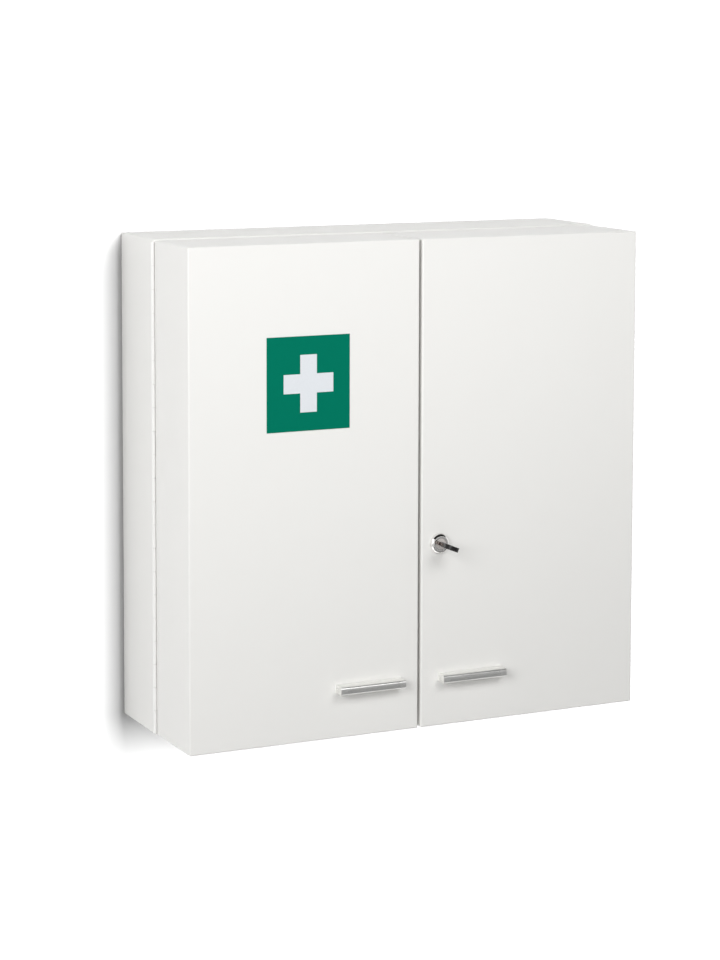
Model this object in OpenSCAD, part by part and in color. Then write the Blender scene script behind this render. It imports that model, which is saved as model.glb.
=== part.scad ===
// Wall-hung medicine cabinet with two deep box doors, shelves in body and doors,
// full-height knuckle hinges, a cam lock with a folding key and a slide bolt.
// Millimetres. X runs right as seen from the front, Z up, and the front faces -Y.
// The origin is the middle of the four wall holes, on the back face.

/* [Cabinet] */
// Overall width of the body
cab_w = 550; // [400:1:700]
// Overall height of the body
cab_h = 550; // [480:1:700]
// Depth of the body, wall to front edge
body_d = 100; // [80:1:160]
// Depth of each box door
door_d = 98; // [80:1:140]
// Gap between body and doors, filled by the folded hinge leaves
part_gap = 2; // [1.9:0.05:3]
// Gap between the two doors
meet_gap = 3.4; // [2:0.1:5]
// How much lower than the body's top, and higher than its bottom, the doors end
door_end_gap = 1.5; // [1:0.1:3]

/* [Sheet metal] */
// Thickness of the body and door sheet
sheet_t = 1.2; // [0.8:0.1:1.6]
// Outside radius of the sheet's bends
bend_r = 2; // [1.8:0.1:3]
// Width of the return flanges round the openings
flange_w = 12; // [10:0.5:18]
// Width of the wider flange on the doors' meeting sides
meet_flange_w = 22; // [20:0.5:30]
// Depth of the folded rim round the back panel
back_rim = 14; // [8:0.5:25]

/* [Wall holes] */
// Distance between the wall holes, across
wall_hole_dx = 440; // [300:1:460]
// Distance between the wall holes, up and down
wall_hole_dz = 450; // [300:1:460]
// Radius of the wall holes
wall_hole_r = 4; // [2.5:0.1:6]

/* [Hinges] */
// Number of knuckles on each hinge, odd so that the body holds both ends
knuckles = 21; // [9:2:31]
// Outside radius of the knuckles
knuckle_r = 2.1; // [2:0.05:2.4]
// Radius of the hinge pin
pin_r = 1; // [0.8:0.05:1.2]
// Radial clearance of the pin in the knuckles
pin_clear = 0.05; // [0.02:0.01:0.1]
// Thickness of the hinge leaves
leaf_t = 0.9; // [0.7:0.05:0.93]
// Width of the hinge leaves, measured from the cabinet's side
leaf_w = 11; // [8:0.5:12]
// Clearance of the knuckles round the bends of body and door
knuckle_clear = 0.35; // [0.3:0.05:0.6]
// Gap between neighbouring knuckles
knuckle_gap = 0.4; // [0.3:0.05:0.8]
// Distance from the body's top and bottom to the ends of the hinge
hinge_end_gap = 3; // [1:0.5:10]

/* [Body shelves] */
// Thickness of the shelf sheet
shelf_t = 1; // [0.8:0.1:1.5]
// Slot that carries the lower body shelf, counted up from the middle one
lower_shelf_slot = -4; // [-7:1:-2]
// Slot that carries the upper body shelf, counted up from the middle one
upper_shelf_slot = 4; // [2:1:7]
// Height of the shelf's folded front edge
shelf_front_h = 15; // [8:0.5:25]
// How far behind the body's front edge the shelves end
shelf_setback = 4; // [3:0.5:15]
// Width of each slotted shelf rail
rail_w = 18; // [16:0.5:24]
// Depth of each slotted shelf rail
rail_d = 6; // [5:0.5:10]
// Distance from slot to slot along a rail
slot_pitch = 25; // [20:1:40]
// Height of the slots in the rails
slot_h = 5; // [4:0.5:8]
// Width of the slots in the rails
slot_w = 10; // [8:0.5:12]

/* [Door trays] */
// Top of the lower door trays, above the cabinet's middle
lower_tray_z = -104; // [-150:1:-90]
// Top of the upper door trays, above the cabinet's middle
upper_tray_z = 84; // [40:1:150]
// Height of the retaining lip on trays and bottom rails
lip_h = 32; // [15:1:60]
// How far inside the door's back edge the lips stand
lip_inset = 3; // [2:0.5:8]
// Height of the trays' folded ends
tray_end_h = 12; // [8:0.5:20]

/* [Handles] */
// Overall length of each handle
handle_l = 79; // [60:1:140]
// Height of the handle
handle_h = 9; // [8:0.5:14]
// How far the handle stands out from the door
handle_out = 14.5; // [12:0.5:30]
// Distance from the handle's inner end to the cabinet's centre line
handle_in = 23.5; // [10:0.5:60]
// Height of the handle's middle above the cabinet's bottom
handle_up = 57.2; // [30:0.1:90]
// Thickness of the handle's top web
handle_web = 2.2; // [1.5:0.1:3]
// Thickness of the handle's front lip
handle_lip = 4.5; // [3.5:0.5:6]
// Length of each end piece along the handle
post_l = 7.5; // [6.5:0.5:12]
// Radius of the handle screws
handle_screw_r = 2; // [1.5:0.1:2.5]

/* [Sign] */
// Width of the sign
sign_w = 98; // [60:1:150]
// Height of the sign
sign_h = 103; // [60:1:150]
// Thickness of the sign
sign_t = 0.6; // [0.3:0.1:1.5]
// Width of the cross, three times that of its upright arms
cross_w = 58.8; // [36:0.3:90]
// Height of the cross, three times that of its level arms
cross_h = 62.6; // [36:0.1:90]
// Sign centre, left of the cabinet's middle
sign_left = 135.8; // [90:0.1:190]
// Sign centre, above the cabinet's middle
sign_up = 121.9; // [0:0.1:180]

/* [Lock] */
// Lock axis to the meeting edge of the right door
lock_in = 22.2; // [18:0.1:30]
// Lock axis above the cabinet's middle
lock_z = -66.6; // [-80:0.1:20]
// Turn of the plug at rest, clockwise from cam upright
lock_rest = 22; // [0:1:40]
// Outside radius of the bezel
bezel_r = 11.7; // [10.5:0.1:14]
// Height of the bezel's upright rim, below its round
bezel_rim = 0.8; // [0.4:0.1:1.5]
// How far the bezel stands out from the door
bezel_out = 4.8; // [3:0.1:5]
// Radius of the lock's barrel
barrel_r = 9.4; // [8.5:0.1:9.8]
// Distance from the lock axis to the flats on the barrel
barrel_flat = 8.2; // [7.6:0.1:8.4]
// Length of the barrel behind the door's outer face
barrel_l = 17; // [14:0.5:25]
// Radius of the turning plug
plug_r = 6.2; // [5.5:0.1:6.6]
// Radial clearance of the plug and of the barrel in its hole
lock_clear = 0.08; // [0.05:0.01:0.1]
// Length of the cam from the lock axis
cam_l = 45; // [40:0.5:50]
// Width of the cam
cam_w = 12; // [9:0.5:14]
// Thickness of the cam
cam_t = 2; // [1.5:0.1:3]
// Room round the cam in the doors' slots
cam_room = 2; // [1:0.1:3]

/* [Key] */
// Thickness of the key blade
blade_t = 2.2; // [1.6:0.1:2.6]
// Width of the key blade
blade_w = 8.2; // [6.5:0.1:9]
// Length of blade inside the plug
blade_in = 15; // [10:0.5:16]
// Clearance of the blade in the plug's keyway
key_clear = 0.12; // [0.08:0.01:0.2]
// Distance from the door's face to the key's folding pivot
key_pivot_out = 15.5; // [12.5:0.5:18]
// Distance from the door's face to the end of the grip
key_tip_out = 38; // [36:0.5:50]
// Width of the grip
grip_w = 16; // [14:0.5:20]
// Radius of the grip's round end at the pivot
grip_near_r = 4.8; // [4.4:0.1:5]
// Thickness of the grip
grip_t = 5; // [4.6:0.1:7]
// Width of the shoulder that stops the key at the plug
shoulder_w = 11; // [8.5:0.1:11]
// Thickness of the shoulder
shoulder_t = 3.6; // [3:0.1:4]
// Radius of the key's rivet
key_rivet_r = 1.5; // [1:0.1:2]

/* [Slide bolt] */
// Radius of the bolt rod
bolt_r = 3; // [2:0.1:4]
// Travel of the bolt
bolt_travel = 12; // [8:0.5:13]
// Radial clearance of the bolt in its guide
bolt_clear = 0.08; // [0.05:0.01:0.1]
// Gap between the bolt and the body's front rim that it goes behind
bolt_gap = 2.2; // [1.5:0.1:3]
// Gap below the body's flange when the bolt is drawn back
bolt_rest_gap = 4; // [2:0.5:5]
// Thickness of the bolt's base plate
bolt_plate_t = 1.5; // [1:0.1:2]

/* [Hidden] */

$fn = 48;

// Small overlap that lets a cut run past a face
eps = 0.5;
// Gap of a piece that rests on its neighbour without touching it
seat_gap = 0.3;
left = -1;
right = 1;

// Body and door boxes
half_w = cab_w / 2;
half_h = cab_h / 2;
body_front = -body_d;
door_back = body_front - part_gap;
door_front = door_back - door_d;
door_x0 = meet_gap / 2;
door_w = half_w - door_x0;
door_mid = door_x0 + door_w / 2;
door_h = cab_h - 2 * door_end_gap;
inner_r = bend_r - sheet_t;
inner_w = cab_w - 2 * sheet_t;
inner_h = cab_h - 2 * sheet_t;

// Hinges
hinge_out = sqrt(pow(bend_r + knuckle_r + knuckle_clear, 2) - pow(bend_r + part_gap / 2, 2)) - bend_r;
hinge_x = half_w + hinge_out;
hinge_y = body_front - part_gap / 2;
hinge_l = cab_h - 2 * hinge_end_gap;
knuckle_pitch = hinge_l / knuckles;
bore_r = pin_r + pin_clear;
leaf_gap = part_gap - 2 * leaf_t;
leaf_root = bore_r + 0.15;

// Body shelves, rails and clips
rail_t = 1;
rail_end = 10;
rail_x = half_w - sheet_t - rail_d;
rail_l = inner_h - 2 * rail_end;
rail_front_room = 14;
rail_rear_room = 4;
rail_front_y = body_front + sheet_t + rail_front_room + rail_w / 2;
rail_rear_y = -(sheet_t + back_rim + rail_rear_room + rail_w / 2);
slots_each_way = floor((rail_l / 2 - slot_h) / slot_pitch);
clip_t = 2;
clip_side_gap = 0.3;
clip_reach = 11;
clip_leg = 8;
shelf_end_gap = 1;
shelf_w = 2 * (rail_x - shelf_end_gap);
shelf_rear_h = 10;
shelf_fold = 8;
shelf_front_y = body_front + shelf_setback;
shelf_rear_y = -(sheet_t + seat_gap);

// Door trays
hem_r = 1.4;
lip_y = door_back - lip_inset;
tray_front_y = door_front + sheet_t + inner_r;
tray_x0 = door_x0 + sheet_t;
tray_w = door_w - 2 * sheet_t;
rail_foot = 14;

// Handles
handle_z = -half_h + handle_up;
handle_front = door_front - handle_out;
handle_round = 3.2;
handle_foot = 1.2;
handle_edge_gap = 1.5;
screw_clear = 0.05;
screw_in = 9;
screw_head_r = 3.6;
screw_head_h = 2.2;
screw_cross = 0.9;
screw_x = [handle_in + post_l / 2, handle_in + handle_l - post_l / 2];
post_pin_r = 1.1;
post_pin_back = 5;

// Lock, counted outward from the door's face
lock_x = door_x0 + lock_in;
plug_face = bezel_out - 0.5;
nut_h = 4;
nut_flat = 12.5;
tail_side = 7;
cam_face = -(barrel_l + seat_gap);
cam_back = cam_face - cam_t;
cam_hub_r = 8.5;
cam_screw_r = 1.9;
cam_screw_in = 6;
cam_screw_head_r = 5.6;
slot_low = cam_w / 2 + cam_room;
slot_high = sqrt(pow(cam_l, 2) - pow(lock_in - sheet_t, 2)) + cam_room;

// Key
key_neck_r = blade_w / 2;
key_near = key_pivot_out - grip_near_r;
shoulder_to_pivot = 6.4;
shoulder_top = key_pivot_out - shoulder_to_pivot;
grip_round = 1.8;
grip_slot_t = blade_t + 0.5;
key_eye_r = 2.2;
key_eye_in = 6;

// Slide bolt
bolt_x = door_x0 + meet_flange_w / 2;
bolt_y = body_front + sheet_t + bolt_gap + bolt_r;
bolt_tip = half_h - flange_w - bolt_rest_gap;
bolt_loop_t = 5;
bolt_loop_in = 2;
bolt_wall = 2;
bolt_knob_r = 2.6;
bolt_knob_l = 12;
bolt_over = 3;
bolt_top = bolt_tip - bolt_over;
bolt_plate_h = 2 * (bolt_loop_in + bolt_loop_t + bolt_knob_r + seat_gap) + bolt_travel;
bolt_bottom = bolt_top - bolt_plate_h;
bolt_plate_w = 19;
bolt_knob_z = bolt_bottom + bolt_loop_in + bolt_loop_t + seat_gap + bolt_knob_r;
rivet_r = 1.2;
rivet_head_r = 1.8;
rivet_head_h = 0.8;
rivet_dx = 7.3;
rivet_z = [bolt_bottom + bolt_loop_in + bolt_loop_t / 2, bolt_top - bolt_loop_in - bolt_loop_t / 2];

paint = [0.93, 0.93, 0.92];
inner_paint = [0.90, 0.90, 0.89];
steel = [0.72, 0.73, 0.74];
chrome_grey = [0.82, 0.83, 0.85];
satin = [0.75, 0.76, 0.76];
cap_grey = [0.88, 0.88, 0.87];

// Rectangle from Y = 0 to h, centred in X, with its corners rounded.
// low is the radius of the corners at Y = 0 and high the radius of those at h.
module soft_rect(w, h, low, high) {
    translate([-w / 2, low])
        square([w, h - low - high]);
    translate([-(w / 2 - low), 0])
        square([w - 2 * low, h / 2]);
    translate([-(w / 2 - high), h / 2])
        square([w - 2 * high, h / 2]);
    for (side = [left, right]) {
        translate([side * (w / 2 - low), low])
            circle(r = low);
        if (high > 0)
            translate([side * (w / 2 - high), h - high])
                circle(r = high);
    }
}

// Box from Y = 0 to d, centred in X and Z, whose edges are bends of radius r.
// r_back is the radius of the edges round its far end.
module bent_box(w, d, h, r, r_back) {
    intersection() {
        translate([0, d, -h / 2])
            rotate([90, 0, 0])
                linear_extrude(d)
                    soft_rect(w, h, r, r);
        translate([0, 0, -h / 2])
            linear_extrude(h)
                soft_rect(w, d, r, r_back);
        translate([-w / 2, 0, 0])
            rotate([90, 0, 90])
                linear_extrude(w)
                    rotate(-90)
                        soft_rect(h, d, r, r_back);
    }
}

// Cylinder from Y = y0 to y1 round the line at x, z
module y_rod(r, x, z, y0, y1) {
    translate([x, y1, z])
        rotate([90, 0, 0])
            cylinder(r = r, h = y1 - y0);
}

// Children are drawn for the right-hand side and mirrored for the left
module on_side(side) {
    if (side == left)
        mirror([1, 0, 0])
            children();
    else
        children();
}

// Body wrap: top, bottom and sides in one piece, with a folded front rim
module body_shell() {
    color(paint)
        difference() {
            translate([0, body_front, 0])
                bent_box(cab_w, body_d, cab_h, bend_r, 0);
            translate([0, body_front + sheet_t, 0])
                bent_box(inner_w, body_d, inner_h, inner_r, 0);
            translate([-(half_w - flange_w), body_front - eps, -(half_h - flange_w)])
                cube([cab_w - 2 * flange_w, sheet_t + 2 * eps, cab_h - 2 * flange_w]);
        }
}

// Back panel: a shallow tray that is welded into the wrap, with the wall holes
module back_panel() {
    tray_d = sheet_t + back_rim;
    color(inner_paint)
        difference() {
            translate([0, 0, -inner_h / 2])
                rotate([90, 0, 0])
                    linear_extrude(tray_d)
                        soft_rect(inner_w, inner_h, inner_r, inner_r);
            translate([-inner_w / 2 + sheet_t, -tray_d - eps, -inner_h / 2 + sheet_t])
                cube([inner_w - 2 * sheet_t, back_rim + eps, inner_h - 2 * sheet_t]);
            for (sx = [left, right], sz = [-1, 1])
                y_rod(wall_hole_r, sx * wall_hole_dx / 2, sz * wall_hole_dz / 2, -sheet_t - eps, eps);
        }
}

// Height of the bottom edge of a rail slot
function slot_bottom(k) = k * slot_pitch - slot_h / 2;

// Height of the top of a shelf that rests on the clips in slot k
function shelf_top(k) = slot_bottom(k) + clip_t + shelf_t;

// Upright channel on a side wall, open to the wall, with a ladder of slots
module shelf_rail(side, y_mid) {
    color(inner_paint)
        on_side(side)
            difference() {
                translate([rail_x, y_mid - rail_w / 2, -rail_l / 2])
                    cube([rail_d, rail_w, rail_l]);
                translate([rail_x + rail_t, y_mid - rail_w / 2 + rail_t, -rail_l / 2 - eps])
                    cube([rail_d, rail_w - 2 * rail_t, rail_l + 2 * eps]);
                for (k = [-slots_each_way : slots_each_way])
                    translate([rail_x - eps, y_mid - slot_w / 2, slot_bottom(k)])
                        cube([rail_t + 2 * eps, slot_w, slot_h]);
            }
}

module rail_left_front() { shelf_rail(left, rail_front_y); }
module rail_left_rear() { shelf_rail(left, rail_rear_y); }
module rail_right_front() { shelf_rail(right, rail_front_y); }
module rail_right_rear() { shelf_rail(right, rail_rear_y); }

// Loose shelf with folded edges, resting on four clips
module body_shelf(k) {
    z = shelf_top(k);
    color(inner_paint)
        translate([-shelf_w / 2, 0, z]) {
            translate([0, shelf_front_y, -shelf_t])
                cube([shelf_w, shelf_rear_y - shelf_front_y, shelf_t]);
            translate([0, shelf_front_y, -shelf_front_h])
                cube([shelf_w, shelf_t, shelf_front_h]);
            translate([0, shelf_front_y, -shelf_front_h])
                cube([shelf_w, shelf_fold, shelf_t]);
            translate([0, shelf_rear_y - shelf_t, -shelf_rear_h])
                cube([shelf_w, shelf_t, shelf_rear_h]);
        }
}

module lower_body_shelf() { body_shelf(lower_shelf_slot); }
module upper_body_shelf() { body_shelf(upper_shelf_slot); }

// Four bent clips: a tongue through the slot, a hook behind it and a leg before it
module shelf_clips(k) {
    clip_w = slot_w - 2 * clip_side_gap;
    z = slot_bottom(k);
    color(steel)
        for (side = [left, right], y_mid = [rail_front_y, rail_rear_y])
            on_side(side)
                translate([rail_x, y_mid - clip_w / 2, z]) {
                    translate([-clip_reach, 0, 0])
                        cube([clip_reach + rail_t + seat_gap + clip_t, clip_w, clip_t]);
                    translate([rail_t + seat_gap, 0, -clip_leg])
                        cube([clip_t, clip_w, clip_leg + clip_t]);
                    translate([-clip_t, 0, -clip_leg])
                        cube([clip_t, clip_w, clip_leg + clip_t]);
                }
}

module lower_shelf_clips() { shelf_clips(lower_shelf_slot); }
module upper_shelf_clips() { shelf_clips(upper_shelf_slot); }

// Four rubber stops on the body's front rim, behind the doors' inner corners
module door_buffers() {
    buffer_r = 3.5;
    buffer_x = door_x0 + meet_flange_w + 2 * buffer_r;
    buffer_z = half_h - flange_w + buffer_r + 1.5;
    color([0.2, 0.2, 0.2])
        for (sx = [left, right], sz = [-1, 1])
            y_rod(buffer_r, sx * buffer_x, sz * buffer_z, door_back + seat_gap, body_front);
}

// Leaf of a knuckle hinge. The knuckles from number first on, every other
// one, are its own, and its edge is cut back round the others.
// y_side is 1 for the leaf on the body and -1 for the leaf on the door.
module hinge_leaf(side, y_side, first) {
    leaf_l = leaf_w + hinge_out - leaf_root;
    color(paint)
        on_side(side)
            translate([hinge_x, hinge_y, -hinge_l / 2])
                difference() {
                    union() {
                        translate([-leaf_root - leaf_l, y_side > 0 ? leaf_gap / 2 : -leaf_gap / 2 - leaf_t, 0])
                            cube([leaf_l, leaf_t, hinge_l]);
                        for (k = [first : 2 : knuckles - 1])
                            translate([0, 0, k * knuckle_pitch + knuckle_gap / 2])
                                cylinder(r = knuckle_r, h = knuckle_pitch - knuckle_gap);
                    }
                    translate([0, 0, -eps])
                        cylinder(r = bore_r, h = hinge_l + 2 * eps);
                    for (k = [1 - first : 2 : knuckles - 1])
                        translate([-knuckle_r - seat_gap, -part_gap, k * knuckle_pitch - knuckle_gap / 2])
                            cube([2 * knuckle_r, 2 * part_gap, knuckle_pitch + knuckle_gap]);
                }
}

module hinge_pin(side) {
    color(steel)
        on_side(side)
            translate([hinge_x, hinge_y, -hinge_l / 2])
                cylinder(r = pin_r, h = hinge_l);
}

module left_hinge_body_leaf() { hinge_leaf(left, 1, 0); }
module left_hinge_door_leaf() { hinge_leaf(left, -1, 1); }
module left_hinge_pin() { hinge_pin(left); }
module right_hinge_body_leaf() { hinge_leaf(right, 1, 0); }
module right_hinge_door_leaf() { hinge_leaf(right, -1, 1); }
module right_hinge_pin() { hinge_pin(right); }

// Deep box door, open at the back inside its return flanges. The slot in its
// meeting side lets the cam through.
module door_box(side) {
    window_w = door_w - flange_w - meet_flange_w;
    on_side(side)
        difference() {
            translate([door_mid, door_front, 0])
                bent_box(door_w, door_d, door_h, bend_r, bend_r);
            translate([door_mid, door_front + sheet_t, 0])
                bent_box(tray_w, door_d - 2 * sheet_t, door_h - 2 * sheet_t, inner_r, inner_r);
            translate([door_x0 + meet_flange_w, door_back - sheet_t - eps, -(door_h / 2 - flange_w)])
                cube([window_w, sheet_t + 2 * eps, door_h - 2 * flange_w]);
            for (x = screw_x)
                y_rod(handle_screw_r + 0.2, x, handle_z, door_front - eps, door_front + sheet_t + eps);
            translate([door_x0 - eps, door_front - cam_face - cam_room, lock_z - slot_low])
                cube([sheet_t + 2 * eps, cam_t + 2 * cam_room, slot_low + slot_high]);
        }
}

module left_door_shell() {
    color(paint)
        difference() {
            door_box(left);
            for (sx = [-1, 1], z = rivet_z)
                y_rod(rivet_r, -bolt_x + sx * rivet_dx, z, door_back - sheet_t - eps, door_back + eps);
        }
}

module right_door_shell() {
    color(paint)
        difference() {
            door_box(right);
            lock_frame()
                translate([0, 0, -sheet_t - eps])
                    linear_extrude(sheet_t + 2 * eps)
                        barrel_outline(lock_clear);
        }
}

// Folded tray that is welded between a door's sides, with a hemmed lip at the back
module door_tray(side, z) {
    color(inner_paint)
        on_side(side)
            translate([tray_x0, 0, z]) {
                translate([0, tray_front_y, -shelf_t])
                    cube([tray_w, lip_y - tray_front_y, shelf_t]);
                translate([0, lip_y - shelf_t, -shelf_t])
                    cube([tray_w, shelf_t, lip_h + shelf_t]);
                for (x = [0, tray_w - shelf_t])
                    translate([x, tray_front_y, -tray_end_h])
                        cube([shelf_t, lip_y - tray_front_y, tray_end_h]);
                lip_hem();
            }
}

// Rolled edge along the top of a lip, in a tray's own frame
module lip_hem() {
    translate([0, lip_y - hem_r, lip_h])
        rotate([0, 90, 0])
            cylinder(r = hem_r, h = tray_w);
}

module left_lower_tray() { door_tray(left, lower_tray_z); }
module left_upper_tray() { door_tray(left, upper_tray_z); }
module right_lower_tray() { door_tray(right, lower_tray_z); }
module right_upper_tray() { door_tray(right, upper_tray_z); }

// Angle strip along the door's bottom that keeps bottles in
module bottom_rail(side) {
    floor_z = -door_h / 2 + sheet_t;
    color(inner_paint)
        on_side(side)
            translate([tray_x0 + inner_r, 0, floor_z]) {
                translate([0, lip_y - rail_foot, 0])
                    cube([tray_w - 2 * inner_r, rail_foot, shelf_t]);
                translate([0, lip_y - shelf_t, 0])
                    cube([tray_w - 2 * inner_r, shelf_t, lip_h]);
                translate([0, lip_y - hem_r, lip_h])
                    rotate([0, 90, 0])
                        cylinder(r = hem_r, h = tray_w - 2 * inner_r);
            }
}

module left_bottom_rail() { bottom_rail(left); }
module right_bottom_rail() { bottom_rail(right); }

// Handle section, with X outward from the door's face and Y up, rounded at
// its upper outer edge
module handle_outline(depth) {
    translate([handle_out - depth, -handle_h / 2])
        square([depth - handle_round, handle_h]);
    translate([handle_out - depth, -handle_h / 2 + handle_foot])
        square([depth, handle_h - handle_foot - handle_round]);
    translate([handle_out - depth, -handle_h / 2])
        square([depth - handle_foot, handle_h - handle_round]);
    translate([handle_out - handle_round, handle_h / 2 - handle_round])
        circle(r = handle_round);
    translate([handle_out - handle_foot, -handle_h / 2 + handle_foot])
        circle(r = handle_foot);
}

// Length of handle section along X from x0 to x1
module handle_run(x0, x1) {
    translate([x0, door_front, handle_z])
        rotate([90, 0, 90])
            linear_extrude(x1 - x0)
                mirror([1, 0, 0])
                    children();
}

// Extruded bar: a top web that runs back towards the door and a front lip,
// open below for the fingers
module handle_bar(side) {
    color(satin)
        on_side(side)
            handle_run(handle_in + post_l, handle_in + handle_l - post_l)
                difference() {
                    handle_outline(handle_out - handle_edge_gap);
                    translate([0, -handle_h])
                        square([handle_out - handle_lip, 1.5 * handle_h - handle_web]);
                }
}

// End pieces that carry the bar, each with a blind screw bore and a pin hole
module handle_posts(side) {
    color(cap_grey)
        on_side(side)
            difference() {
                for (x = screw_x)
                    handle_run(x - post_l / 2, x + post_l / 2)
                        handle_outline(handle_out);
                for (x = screw_x)
                    y_rod(handle_screw_r + screw_clear, x, handle_z, door_front - screw_in - 1, door_front + eps);
                for (x = [handle_in - eps, handle_in + handle_l - 1])
                    translate([x, door_front - post_pin_back, handle_z])
                        rotate([0, 90, 0])
                            cylinder(r = post_pin_r, h = 1 + eps);
            }
}

// Two pan-head screws with a cross recess, put in from inside the door
module handle_screws(side) {
    head_y = door_front + sheet_t;
    color(steel)
        on_side(side)
            for (x = screw_x)
                difference() {
                    union() {
                        y_rod(handle_screw_r, x, handle_z, door_front - screw_in, head_y + eps);
                        y_rod(screw_head_r, x, handle_z, head_y, head_y + screw_head_h);
                    }
                    for (turn = [0, 90])
                        translate([x, head_y + screw_head_h, handle_z])
                            rotate([0, turn, 0])
                                cube([screw_head_r, 2.4, screw_cross], center = true);
                }
}

module left_handle_bar() { handle_bar(left); }
module left_handle_posts() { handle_posts(left); }
module left_handle_screws() { handle_screws(left); }
module right_handle_bar() { handle_bar(right); }
module right_handle_posts() { handle_posts(right); }
module right_handle_screws() { handle_screws(right); }

// Cross whose arms are a third of its size, as deep as the sign
module cross_solid(grow) {
    for (size = [[cross_w / 3, cross_h], [cross_w, cross_h / 3]])
        translate([-sign_left, door_front - sign_t / 2, sign_up])
            cube([size[0], sign_t + grow, size[1]], center = true);
}

module sign_plate() {
    color([0, 0.48, 0.37])
        difference() {
            translate([-sign_left, door_front - sign_t / 2, sign_up])
                cube([sign_w, sign_t, sign_h], center = true);
            cross_solid(eps);
        }
}

module sign_cross() {
    color([0.88, 0.9, 0.91])
        cross_solid(0);
}

// Frame on the lock axis: X right, Y up and Z outward from the door's face
module lock_frame() {
    translate([lock_x, door_front, lock_z])
        rotate([90, 0, 0])
            children();
}

// The same frame, turned with the plug
module plug_frame() {
    lock_frame()
        rotate([0, 0, -lock_rest])
            children();
}

// Round barrel with two flats that keep it from turning in the door
module barrel_outline(grow) {
    intersection() {
        circle(r = barrel_r + grow);
        square([2 * (barrel_flat + grow), 4 * barrel_r], center = true);
    }
}

// Fixed part of the lock: a domed bezel outside and a barrel inside the door
module lock_housing() {
    dome_r = bezel_out - bezel_rim;
    color(chrome_grey)
        lock_frame()
            difference() {
                union() {
                    translate([0, 0, -barrel_l])
                        linear_extrude(barrel_l + eps)
                            barrel_outline(0);
                    rotate_extrude() {
                        square([bezel_r, bezel_rim]);
                        square([bezel_r - dome_r, bezel_out]);
                        intersection() {
                            translate([bezel_r - dome_r, bezel_rim])
                                circle(r = dome_r);
                            square([bezel_r, bezel_out]);
                        }
                    }
                }
                translate([0, 0, -barrel_l - eps])
                    cylinder(r = plug_r + lock_clear, h = barrel_l + bezel_out + 2 * eps);
            }
}

module lock_nut() {
    color(steel)
        lock_frame()
            translate([0, 0, -sheet_t - nut_h])
                difference() {
                    cylinder(r = nut_flat / cos(30), h = nut_h, $fn = 6);
                    translate([0, 0, -eps])
                        cylinder(r = barrel_r + lock_clear, h = nut_h + 2 * eps);
                }
}

// Turning plug with its keyway, and a square tail that carries the cam
module lock_plug() {
    way_w = blade_w + 2 * key_clear;
    way_t = blade_t + 2 * key_clear;
    way_end = plug_face - blade_in - 1;
    color(chrome_grey)
        plug_frame()
            difference() {
                union() {
                    translate([0, 0, -barrel_l])
                        cylinder(r = plug_r, h = barrel_l + plug_face);
                    translate([-tail_side / 2, -tail_side / 2, cam_back + 0.1])
                        cube([tail_side, tail_side, -barrel_l + eps - cam_back]);
                }
                translate([-way_w / 2, -way_t / 2, way_end])
                    cube([way_w, way_t, plug_face - way_end + eps]);
                translate([0, 0, cam_back - eps])
                    cylinder(r = cam_screw_r + screw_clear, h = cam_screw_in + 0.5 + eps);
            }
}

// Flat cam with a round hub and tip, pointing up when the plug is upright
module lock_cam() {
    color(steel)
        plug_frame()
            translate([0, 0, cam_back])
                linear_extrude(cam_t)
                    difference() {
                        union() {
                            circle(r = cam_hub_r);
                            translate([-cam_w / 2, 0])
                                square([cam_w, cam_l - cam_w / 2]);
                            translate([0, cam_l - cam_w / 2])
                                circle(d = cam_w);
                        }
                        square(tail_side + 2 * screw_clear, center = true);
                    }
}

module cam_screw() {
    color(steel)
        plug_frame()
            difference() {
                union() {
                    translate([0, 0, cam_back])
                        cylinder(r = cam_screw_r, h = cam_screw_in);
                    translate([0, 0, cam_back - screw_head_h])
                        cylinder(r = cam_screw_head_r, h = screw_head_h);
                }
                for (turn = [0, 90])
                    translate([0, 0, cam_back - screw_head_h])
                        rotate([0, 0, turn])
                            cube([cam_screw_head_r, screw_cross, 2.4], center = true);
            }
}

// Key blade: cut along one edge where it enters the plug, with a shoulder that
// stops at the plug's face and a round end at the pivot
module key_blade() {
    shoulder_low = plug_face + seat_gap;
    color(steel)
        plug_frame() {
            rotate([90, 0, 0])
                translate([0, 0, -blade_t / 2])
                    linear_extrude(blade_t)
                        blade_outline();
            translate([-shoulder_w / 2, -shoulder_t / 2, shoulder_low])
                cube([shoulder_w, shoulder_t, shoulder_top - shoulder_low]);
        }
}

// Outline of the blade, with Y outward from the door's face
module blade_outline() {
    cuts = [[3, 1.4], [6, 0.8], [9, 1.6], [12, 1.1]];
    difference() {
        union() {
            translate([-blade_w / 2, plug_face - blade_in])
                square([blade_w, key_pivot_out - plug_face + blade_in]);
            translate([0, key_pivot_out])
                circle(r = key_neck_r);
        }
        for (cut = cuts)
            translate([blade_w / 2, plug_face - blade_in + cut[0]])
                rotate(45)
                    square(cut[1] * sqrt(2), center = true);
        translate([0, key_pivot_out])
            circle(r = key_rivet_r + screw_clear);
    }
}

module key_rivet() {
    color(chrome_grey)
        plug_frame()
            translate([0, 0, key_pivot_out])
                rotate([90, 0, 0])
                    cylinder(r = key_rivet_r, h = grip_t, center = true);
}

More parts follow.
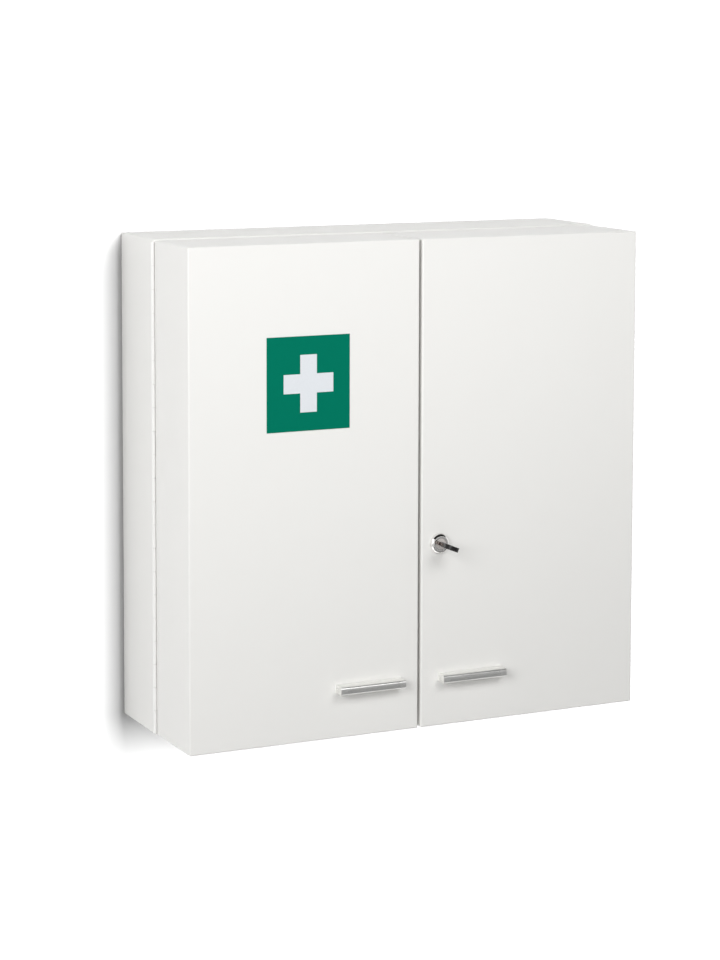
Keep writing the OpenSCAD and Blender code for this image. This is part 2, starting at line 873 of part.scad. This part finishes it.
// Folding grip: two cheeks round the blade's end and a solid, rounded handle
module key_grip() {
    far_r = grip_w / 2;
    color([0.12, 0.12, 0.13])
        plug_frame()
            difference() {
                intersection() {
                    rotate([90, 0, 0])
                        translate([0, 0, -grip_t / 2])
                            linear_extrude(grip_t)
                                grip_outline(far_r);
                    translate([-grip_w, 0, key_near])
                        rotate([90, 0, 90])
                            linear_extrude(2 * grip_w)
                                soft_rect(grip_t, key_tip_out - key_near, 0.8, grip_round);
                }
                translate([-grip_w, -grip_slot_t / 2, key_near - eps])
                    cube([2 * grip_w, grip_slot_t, key_pivot_out + key_neck_r + 0.6 - key_near + eps]);
                translate([0, 0, key_pivot_out])
                    rotate([90, 0, 0])
                        cylinder(r = key_rivet_r + screw_clear, h = 2 * grip_t, center = true);
                translate([0, 0, key_tip_out - key_eye_in])
                    rotate([90, 0, 0])
                        cylinder(r = key_eye_r, h = 2 * grip_t, center = true);
            }
}

// Outline of the grip from the pivot end to the wide far end
module grip_outline(far_r) {
    translate([0, key_near + grip_near_r])
        circle(r = grip_near_r);
    translate([0, key_tip_out - far_r])
        circle(r = far_r);
    polygon([[-grip_near_r, key_near + grip_near_r], [grip_near_r, key_near + grip_near_r],
             [far_r, key_tip_out - far_r], [-far_r, key_tip_out - far_r]]);
}

// Base plate and two loops of the slide bolt, on the left door's meeting flange
module bolt_guide() {
    loop_w = 2 * (bolt_r + bolt_wall);
    color(steel)
        difference() {
            union() {
                translate([-bolt_x - bolt_plate_w / 2, door_back, bolt_bottom])
                    cube([bolt_plate_w, bolt_plate_t, bolt_plate_h]);
                for (z = rivet_z)
                    translate([-bolt_x, 0, z - bolt_loop_t / 2])
                        linear_extrude(bolt_loop_t)
                            bolt_loop_outline(loop_w);
            }
            translate([-bolt_x, bolt_y, bolt_bottom - eps])
                cylinder(r = bolt_r + bolt_clear, h = bolt_plate_h + 2 * eps);
            for (sx = [-1, 1], z = rivet_z)
                y_rod(rivet_r, -bolt_x + sx * rivet_dx, z, door_back - eps, door_back + bolt_plate_t + eps);
        }
}

// Section of a loop, round where it goes over the rod
module bolt_loop_outline(loop_w) {
    translate([-loop_w / 2, door_back])
        square([loop_w, bolt_y - door_back]);
    translate([0, bolt_y])
        circle(d = loop_w);
}

module bolt_rivets() {
    grip = sheet_t + bolt_plate_t;
    color(steel)
        for (sx = [-1, 1], z = rivet_z) {
            x = -bolt_x + sx * rivet_dx;
            y_rod(rivet_r, x, z, door_back - sheet_t - eps, door_back + bolt_plate_t + eps);
            y_rod(rivet_head_r, x, z, door_back - sheet_t - rivet_head_h, door_back - sheet_t);
            y_rod(rivet_head_r, x, z, door_back + bolt_plate_t, door_back + bolt_plate_t + rivet_head_h);
        }
}

// Bolt rod with a chamfered tip and a finger knob between the loops
module bolt_rod() {
    tip_h = 1;
    low_end = bolt_bottom - bolt_loop_in;
    color(chrome_grey) {
        translate([-bolt_x, bolt_y, low_end])
            cylinder(r = bolt_r, h = bolt_tip - tip_h - low_end);
        translate([-bolt_x, bolt_y, bolt_tip - tip_h])
            cylinder(r1 = bolt_r, r2 = bolt_r - tip_h, h = tip_h);
        y_rod(bolt_knob_r, -bolt_x, bolt_knob_z, bolt_y, bolt_y + bolt_knob_l);
    }
}

body_shell();
back_panel();
rail_left_front();
rail_left_rear();
rail_right_front();
rail_right_rear();
lower_body_shelf();
upper_body_shelf();
lower_shelf_clips();
upper_shelf_clips();
door_buffers();
left_hinge_body_leaf();
left_hinge_pin();
right_hinge_body_leaf();
right_hinge_pin();
left_door_shell();
left_hinge_door_leaf();
left_lower_tray();
left_upper_tray();
left_bottom_rail();
left_handle_bar();
left_handle_posts();
left_handle_screws();
sign_plate();
sign_cross();
bolt_guide();
bolt_rivets();
bolt_rod();
right_door_shell();
right_hinge_door_leaf();
right_lower_tray();
right_upper_tray();
right_bottom_rail();
right_handle_bar();
right_handle_posts();
right_handle_screws();
lock_housing();
lock_nut();
lock_plug();
lock_cam();
cam_screw();
key_blade();
key_rivet();
key_grip();
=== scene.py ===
import math

import bpy
from mathutils import Euler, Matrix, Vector

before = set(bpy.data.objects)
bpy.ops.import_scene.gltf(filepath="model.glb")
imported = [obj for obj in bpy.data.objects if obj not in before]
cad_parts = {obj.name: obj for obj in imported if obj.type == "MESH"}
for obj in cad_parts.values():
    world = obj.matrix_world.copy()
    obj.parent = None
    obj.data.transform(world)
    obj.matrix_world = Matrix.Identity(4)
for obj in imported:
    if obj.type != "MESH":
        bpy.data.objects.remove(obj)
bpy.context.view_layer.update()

# Camera at the photograph's viewpoint, in metres, degrees, millimetres and pixels
CAMERA_PLACE = (-1.2751, -2.7193, 0.5012)
CAMERA_YAW = 25.470
CAMERA_PITCH = 5.524
CAMERA_ROLL = 0.131
SENSOR = 36.0
PHOTO_H = 960.0
FOCAL_PX = 2585.8
SHIFT_PX = -200.0
CLIP_START = 0.05
CLIP_END = 50.0

# Wall and floor, in metres, with how bright they look and how much light they throw back
WALL_Y = 0.0005
WALL_HALF = 5.0
WALL_TOP = 4.0
HOLE_HALF = 0.270
FLOOR_Z = -1.25
FLOOR_DEPTH = 8.0
WALL_SEEN = 0.35
WALL_LIT = 0.19
FLOOR_SEEN = 2.0
FLOOR_LIT = 0.80

# World light, which falls from one level to the other as its direction rises
WORLD_LEVEL = 0.55
CEILING_LEVEL = 0.20
CEILING_FROM = 0.35
CEILING_TO = 0.65
WORLD_SEEN = (1.0, 1.0, 1.0, 1.0)

# Points that the lamps are aimed at
CABINET_AIM = (0.0, -0.15, 0.0)
WALL_AIM = (0.0, 0.0, 0.0)

# Colours, linear
WHITE = (0.862, 0.856, 0.832)
INNER_WHITE = (0.80, 0.80, 0.79)
# The hinge wears the cabinet's white paint; this colour is lighter than that white, a painted
# highlight along the knuckles that also lifts the shade in the crevice beside them.
HINGE_PAINTED_HIGHLIGHT_WHITE = (0.95, 0.945, 0.93)
SIGN_GREEN = (0.0005, 0.174, 0.108)
SIGN_WHITE = (0.74, 0.77, 0.80)
ALUMINIUM = (0.91, 0.91, 0.89)
CHROME = (0.86, 0.85, 0.83)
PLUG_NICKEL = (0.74, 0.70, 0.67)
NICKEL = (0.13, 0.105, 0.095)
ZINC_BLUE = (0.66, 0.68, 0.71)
ZINC_STRAW = (0.70, 0.68, 0.60)
BLACK = (0.010, 0.0095, 0.010)
RUBBER = (0.03, 0.03, 0.032)

# Grain of the metals: noise scales along x, y and z, small along the lines
LINES_ALONG_X = (12.0, 3500.0, 3500.0)
LINES_ALONG_Y = (1500.0, 60.0, 1500.0)
EVEN_GRAIN = (900.0, 900.0, 900.0)

# The part of a noise's values that is spread over a whole range
NOISE_FROM = 0.3
NOISE_TO = 0.7

# Sockets of a Mix node that mixes colours
MIX_FACTOR = 0
MIX_FIRST = 6
MIX_SECOND = 7
MIX_RESULT = 2


class Surface:
    """A node material under construction, with object coordinates at hand."""

    def __init__(self, name):
        self.mat = bpy.data.materials.new(name)
        self.mat.use_nodes = True
        self.tree = self.mat.node_tree
        self.tree.nodes.clear()
        self.out = self.add("ShaderNodeOutputMaterial")
        self.bsdf = self.add("ShaderNodeBsdfPrincipled")
        self.link(self.bsdf.outputs["BSDF"], self.out.inputs["Surface"])
        self.coord = self.add("ShaderNodeTexCoord").outputs["Object"]

    def add(self, kind, **settings):
        """New node with its settings."""
        node = self.tree.nodes.new(kind)
        for key, value in settings.items():
            setattr(node, key, value)
        return node

    def link(self, a, b):
        """Lead output a into input b."""
        self.tree.links.new(a, b)

    def stretched(self, scale):
        """Object coordinates scaled along each axis."""
        mapping = self.add("ShaderNodeMapping")
        mapping.inputs["Scale"].default_value = scale
        self.link(self.coord, mapping.inputs["Vector"])
        return mapping.outputs["Vector"]

    def noise(self, scale, detail, vector=None):
        """Noise over the object coordinates, or over another vector."""
        node = self.add("ShaderNodeTexNoise")
        node.inputs["Scale"].default_value = scale
        node.inputs["Detail"].default_value = detail
        self.link(vector or self.coord, node.inputs["Vector"])
        return node.outputs["Fac"]

    def spread(self, value, low, high, start=NOISE_FROM, stop=NOISE_TO):
        """Map start..stop of a value to low..high."""
        node = self.add("ShaderNodeMapRange")
        node.inputs["From Min"].default_value = start
        node.inputs["From Max"].default_value = stop
        node.inputs["To Min"].default_value = low
        node.inputs["To Max"].default_value = high
        self.link(value, node.inputs["Value"])
        return node.outputs["Result"]

    def tint(self, factor, dark, light):
        """Base colour that wanders between two colours."""
        mix = self.add("ShaderNodeMix", data_type="RGBA")
        mix.inputs[MIX_FIRST].default_value = (*dark, 1.0)
        mix.inputs[MIX_SECOND].default_value = (*light, 1.0)
        self.link(factor, mix.inputs[MIX_FACTOR])
        self.link(mix.outputs[MIX_RESULT], self.bsdf.inputs["Base Color"])

    def arch(self):
        """Height of a parabola over the object's own height: 0 half way up, -1 at its ends."""
        split = self.add("ShaderNodeSeparateXYZ")
        self.link(self.add("ShaderNodeTexCoord").outputs["Generated"], split.inputs[0])
        level = self.spread(split.outputs["Z"], -1.0, 1.0, start=0.0, stop=1.0)
        square = self.add("ShaderNodeMath", operation="MULTIPLY")
        self.link(level, square.inputs[0])
        self.link(level, square.inputs[1])
        return self.spread(square.outputs[0], 0.0, -1.0, start=0.0, stop=1.0)

    def rough(self, value):
        """Roughness from a node's output."""
        self.link(value, self.bsdf.inputs["Roughness"])

    def bump(self, height, strength, distance):
        """Relief from a height, laid over the relief that is there already."""
        normal = None
        if self.bsdf.inputs["Normal"].links:
            normal = self.bsdf.inputs["Normal"].links[0].from_socket
        node = self.add("ShaderNodeBump")
        node.inputs["Strength"].default_value = strength
        node.inputs["Distance"].default_value = distance
        self.link(height, node.inputs["Height"])
        if normal:
            self.link(normal, node.inputs["Normal"])
        self.link(node.outputs["Normal"], self.bsdf.inputs["Normal"])

    def fixed(self, **values):
        """Plain values of the Principled shader, with _ for a space in their names."""
        for key, value in values.items():
            self.bsdf.inputs[key.replace("_", " ")].default_value = value


def scaled(colour, factor):
    """Colour made darker or lighter by a factor."""
    return tuple(c * factor for c in colour)


def powder_coat(name, colour, rough, peel):
    """Sprayed and baked paint: orange peel, as strong as peel says, over a finer grain."""
    s = Surface(name)
    s.tint(s.noise(scale=2.5, detail=1.0), scaled(colour, 0.985), scaled(colour, 1.01))
    s.rough(s.spread(s.noise(scale=900.0, detail=1.0), rough - 0.04, rough + 0.05))
    s.bump(s.noise(scale=260.0, detail=1.5), strength=peel, distance=0.00035)
    s.bump(s.noise(scale=1500.0, detail=1.0), strength=peel * 0.5, distance=0.00010)
    s.fixed(IOR=1.48)
    return s.mat


def drawn_metal(name, colour, rough, grain, strength, crown=0.0, metal=1.0):
    """Metal with fine lines along one direction, given by grain.

    The crown, in metres, rounds the drawn faces a little from top to bottom.
    """
    s = Surface(name)
    lines = s.noise(scale=1.0, detail=3.0, vector=s.stretched(grain))
    s.tint(lines, scaled(colour, 0.94), scaled(colour, 1.04))
    s.rough(s.spread(lines, rough - 0.06, rough + 0.06))
    if crown:
        s.bump(s.arch(), strength=1.0, distance=crown)
    s.bump(lines, strength=strength, distance=0.00005)
    s.fixed(Metallic=metal)
    return s.mat


def plated(name, colour, rough):
    """Bright plating with hazy handling marks, on a face that waves a little."""
    s = Surface(name)
    s.tint(s.noise(scale=120.0, detail=2.0), scaled(colour, 0.96), colour)
    s.rough(s.spread(s.noise(scale=500.0, detail=4.0), rough, rough * 2.2))
    s.bump(s.noise(scale=520.0, detail=1.0), strength=0.22, distance=0.0002)
    s.bump(s.noise(scale=2600.0, detail=2.0), strength=0.05, distance=0.00002)
    s.fixed(Metallic=1.0)
    return s.mat


def zinc_plate(name):
    """Zinc plating: pale blue and straw clouds over a dull metal."""
    s = Surface(name)
    s.tint(s.spread(s.noise(scale=70.0, detail=3.0), 0.0, 1.0), ZINC_BLUE, ZINC_STRAW)
    s.rough(s.spread(s.noise(scale=700.0, detail=3.0), 0.28, 0.42))
    s.bump(s.noise(scale=1800.0, detail=2.0), strength=0.12, distance=0.00005)
    s.fixed(Metallic=1.0)
    return s.mat


def moulded(name, colour, rough, grain_scale, strength):
    """Moulded plastic or rubber with an even grain."""
    s = Surface(name)
    s.tint(s.noise(scale=300.0, detail=2.0), scaled(colour, 0.85), scaled(colour, 1.15))
    s.rough(s.spread(s.noise(scale=grain_scale, detail=2.0), rough - 0.05, rough + 0.07))
    s.bump(s.noise(scale=grain_scale, detail=2.0), strength=strength, distance=0.00008)
    s.fixed(Specular_IOR_Level=0.25)
    return s.mat


def film(name, colour):
    """Printed adhesive film: even colour, slight waviness from the glue."""
    s = Surface(name)
    s.tint(s.noise(scale=900.0, detail=1.0), scaled(colour, 0.97), scaled(colour, 1.03))
    s.rough(s.spread(s.noise(scale=60.0, detail=1.0), 0.34, 0.42))
    s.fixed(Specular_IOR_Level=0.02)
    s.bump(s.noise(scale=90.0, detail=1.0), strength=0.06, distance=0.0004)
    s.bump(s.noise(scale=2000.0, detail=1.0), strength=0.05, distance=0.00005)
    return s.mat


def make_materials():
    """A material for each slot name of the source, and one more for the lock's plug."""
    return {
        "white_paint": powder_coat("white_paint", WHITE, rough=0.42, peel=0.10),
        # Painted highlight: the hinge's white is lighter than the same paint on the cabinet,
        # standing in for the light its knuckles catch.
        "hinge_paint": powder_coat("hinge_paint", HINGE_PAINTED_HIGHLIGHT_WHITE, rough=0.40, peel=0.10),
        "inner_paint": powder_coat("inner_paint", INNER_WHITE, rough=0.50, peel=0.12),
        "buffer_rubber": moulded("buffer_rubber", RUBBER, rough=0.75, grain_scale=900.0,
                                 strength=0.5),
        "handle_aluminium": drawn_metal("handle_aluminium", ALUMINIUM, rough=0.30,
                                        grain=LINES_ALONG_X, strength=0.10, crown=0.0004),
        "handle_end_pieces": drawn_metal("handle_end_pieces", ALUMINIUM, rough=0.34,
                                         grain=EVEN_GRAIN, strength=0.06, crown=0.0002),
        "sign_green": film("sign_green", SIGN_GREEN),
        "sign_white": film("sign_white", SIGN_WHITE),
        "lock_chrome": plated("lock_chrome", CHROME, rough=0.06),
        "key_steel": drawn_metal("key_steel", NICKEL, rough=0.34, grain=LINES_ALONG_Y,
                                 strength=0.15),
        "plug_nickel": drawn_metal("plug_nickel", PLUG_NICKEL, rough=0.30, grain=EVEN_GRAIN,
                                   strength=0.10, metal=0.35),
        "key_plastic": moulded("key_plastic", BLACK, rough=0.36, grain_scale=1600.0,
                               strength=0.25),
        "zinc_steel": zinc_plate("zinc_steel"),
    }


def dress_nodes():
    """Put the materials on the frame's pieces by the names of their slots."""
    materials = make_materials()
    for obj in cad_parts.values():
        for slot in obj.material_slots:
            slot.material = materials[slot.material.name.split(".")[0]]
    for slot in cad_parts["lock_plug"].material_slots:
        slot.material = materials["plug_nickel"]


def flat_mesh(name, corners, faces):
    """Object of the studio, not of the part, from corners and faces."""
    mesh = bpy.data.meshes.new(name)
    mesh.from_pydata(corners, [], faces)
    mesh.update()
    obj = bpy.data.objects.new(name, mesh)
    bpy.context.scene.collection.objects.link(obj)
    return obj


def seen_directly(tree):
    """1 for rays from the camera, a mirror or glass, and 0 for diffuse light."""
    path = tree.nodes.new("ShaderNodeLightPath")
    total = None
    for name in ("Is Camera Ray", "Is Glossy Ray", "Is Transmission Ray"):
        if total is None:
            total = path.outputs[name]
            continue
        add = tree.nodes.new("ShaderNodeMath")
        add.operation = "ADD"
        add.use_clamp = True
        tree.links.new(total, add.inputs[0])
        tree.links.new(path.outputs[name], add.inputs[1])
        total = add.outputs[0]
    return total


def backdrop_material(name, seen, lit):
    """White card: brighter where it is looked at, clear from behind."""
    mat = bpy.data.materials.new(name)
    mat.use_nodes = True
    tree = mat.node_tree
    tree.nodes.clear()
    out = tree.nodes.new("ShaderNodeOutputMaterial")
    card = tree.nodes.new("ShaderNodeBsdfDiffuse")
    clear = tree.nodes.new("ShaderNodeBsdfTransparent")
    choose = tree.nodes.new("ShaderNodeMixShader")
    side = tree.nodes.new("ShaderNodeNewGeometry")
    mix = tree.nodes.new("ShaderNodeMix")
    mix.data_type = "RGBA"
    mix.clamp_factor = True
    mix.inputs[MIX_FIRST].default_value = (lit, lit, lit, 1.0)
    mix.inputs[MIX_SECOND].default_value = (seen, seen, seen, 1.0)
    tree.links.new(seen_directly(tree), mix.inputs[MIX_FACTOR])
    tree.links.new(mix.outputs[MIX_RESULT], card.inputs["Color"])
    tree.links.new(side.outputs["Backfacing"], choose.inputs[0])
    tree.links.new(card.outputs[0], choose.inputs[1])
    tree.links.new(clear.outputs[0], choose.inputs[2])
    tree.links.new(choose.outputs[0], out.inputs["Surface"])
    return mat


def make_backdrop():
    """Wall with a hole behind the cabinet, and a floor, both seen from inside only."""
    h = HOLE_HALF
    corners = [(-WALL_HALF, WALL_Y, FLOOR_Z), (WALL_HALF, WALL_Y, FLOOR_Z),
               (WALL_HALF, WALL_Y, WALL_TOP), (-WALL_HALF, WALL_Y, WALL_TOP),
               (-h, WALL_Y, -h), (h, WALL_Y, -h), (h, WALL_Y, h), (-h, WALL_Y, h)]
    faces = [(0, 1, 5, 4), (1, 2, 6, 5), (2, 3, 7, 6), (3, 0, 4, 7)]
    wall = flat_mesh("studio_wall", corners, faces)
    wall.data.materials.append(backdrop_material("studio_wall", WALL_SEEN, WALL_LIT))
    corners = [(-WALL_HALF, -FLOOR_DEPTH, FLOOR_Z), (WALL_HALF, -FLOOR_DEPTH, FLOOR_Z),
               (WALL_HALF, WALL_Y, FLOOR_Z), (-WALL_HALF, WALL_Y, FLOOR_Z)]
    floor = flat_mesh("studio_floor", corners, [(0, 1, 2, 3)])
    floor.data.materials.append(backdrop_material("studio_floor", FLOOR_SEEN, FLOOR_LIT))
    return wall


def area_light(name, place, target, size, watts):
    """Rectangular lamp at a place, aimed at a target and unseen by the camera."""
    light = bpy.data.lights.new(name, "AREA")
    light.shape = "RECTANGLE"
    light.size, light.size_y = size
    light.energy = watts
    obj = bpy.data.objects.new(name, light)
    obj.location = place
    aim = Vector(target) - Vector(place)
    obj.rotation_mode = "QUATERNION"
    obj.rotation_quaternion = aim.to_track_quat("-Z", "Y")
    obj.visible_camera = False
    bpy.context.scene.collection.objects.link(obj)
    return obj


def link_light(light, obj, state):
    """Keep a lamp's light to one object (INCLUDE) or off it (EXCLUDE)."""
    receivers = bpy.data.collections.new(light.name + "_receivers")
    receivers.objects.link(obj)
    receivers.collection_objects[0].light_linking.link_state = state
    light.light_linking.receiver_collection = receivers


def make_lights(wall):
    """Two lamps in front, one behind for the views from there, and one for the wall alone.

    The top light leaves out the lock's bezel, where its reflection would hide the dark one.
    """
    area_light("left_light", place=(-1.53, -1.42, 0.60), target=CABINET_AIM,
               size=(0.9, 0.9), watts=18.9)
    top_light = area_light("top_light", place=(0.153, -1.292, 0.70), target=CABINET_AIM,
                           size=(0.8, 0.5), watts=6.6)
    link_light(top_light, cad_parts["lock_housing"], "EXCLUDE")
    area_light("rear_light", place=(0.0, 2.5, 1.0), target=WALL_AIM,
               size=(2.0, 2.0), watts=40.0)
    wall_light = area_light("wall_light", place=(0.34, -8.0, 0.95), target=WALL_AIM,
                            size=(1.4, 2.4), watts=1830.0)
    link_light(wall_light, wall, "INCLUDE")


def make_card(name, centre, size, level):
    """Flat grey card that faces the origin and is seen by metal and gloss alone."""
    half = Vector(size) / 2.0
    place = Vector(centre)
    turn = (-place).to_track_quat("Z", "Y")
    corners = [place + turn @ Vector((sx * half.x, sy * half.y, 0.0))
               for sx, sy in ((-1, -1), (1, -1), (1, 1), (-1, 1))]
    card = flat_mesh(name, corners, [(0, 1, 2, 3)])
    mat = bpy.data.materials.new(name)
    mat.use_nodes = True
    tree = mat.node_tree
    tree.nodes.clear()
    out = tree.nodes.new("ShaderNodeOutputMaterial")
    glow = tree.nodes.new("ShaderNodeEmission")
    glow.inputs["Color"].default_value = (level, level, level, 1.0)
    tree.links.new(glow.outputs[0], out.inputs["Surface"])
    card.data.materials.append(mat)
    card.visible_camera = False
    card.visible_diffuse = False
    card.visible_shadow = False


def make_cards():
    """Cards that give the lock, the key and the handles their darker reflections."""
    make_card("front_card", centre=(1.9, -3.7, -0.55), size=(3.6, 1.5), level=0.36)
    make_card("upper_card", centre=(0.66, -2.78, 2.90), size=(9.5, 5.8), level=0.015)
    make_card("lower_card", centre=(0.41, -0.95, -0.85), size=(2.2, 1.0), level=0.26)


def make_world():
    """World that looks white, and whose diffuse light is weaker from above."""
    world = bpy.data.worlds.new("studio")
    bpy.context.scene.world = world
    world.use_nodes = True
    tree = world.node_tree
    tree.nodes.clear()
    out = tree.nodes.new("ShaderNodeOutputWorld")
    sky = tree.nodes.new("ShaderNodeBackground")
    direction = tree.nodes.new("ShaderNodeTexCoord")
    split = tree.nodes.new("ShaderNodeSeparateXYZ")
    level = tree.nodes.new("ShaderNodeMapRange")
    level.inputs["From Min"].default_value = CEILING_FROM
    level.inputs["From Max"].default_value = CEILING_TO
    level.inputs["To Min"].default_value = WORLD_LEVEL
    level.inputs["To Max"].default_value = CEILING_LEVEL
    mix = tree.nodes.new("ShaderNodeMix")
    mix.data_type = "RGBA"
    mix.inputs[MIX_SECOND].default_value = WORLD_SEEN
    tree.links.new(direction.outputs["Generated"], split.inputs[0])
    tree.links.new(split.outputs["Z"], level.inputs["Value"])
    tree.links.new(level.outputs["Result"], mix.inputs[MIX_FIRST])
    tree.links.new(seen_directly(tree), mix.inputs[MIX_FACTOR])
    tree.links.new(mix.outputs[MIX_RESULT], sky.inputs["Color"])
    tree.links.new(sky.outputs[0], out.inputs["Surface"])


def make_camera():
    """Camera at the photograph's place, with the photograph's off-centre axis."""
    camera = bpy.data.cameras.new("camera")
    camera.sensor_width = SENSOR
    camera.lens = FOCAL_PX * SENSOR / PHOTO_H
    camera.shift_y = SHIFT_PX / PHOTO_H
    camera.clip_start = CLIP_START
    camera.clip_end = CLIP_END
    obj = bpy.data.objects.new("camera", camera)
    obj.location = CAMERA_PLACE
    turn = (math.radians(90.0 - CAMERA_PITCH), -math.radians(CAMERA_ROLL), -math.radians(CAMERA_YAW))
    obj.rotation_euler = Euler(turn)
    bpy.context.scene.collection.objects.link(obj)
    bpy.context.scene.camera = obj


make_camera()
make_world()
make_lights(make_backdrop())
make_cards()
dress_nodes()
bpy.context.scene.view_settings.view_transform = "Standard"
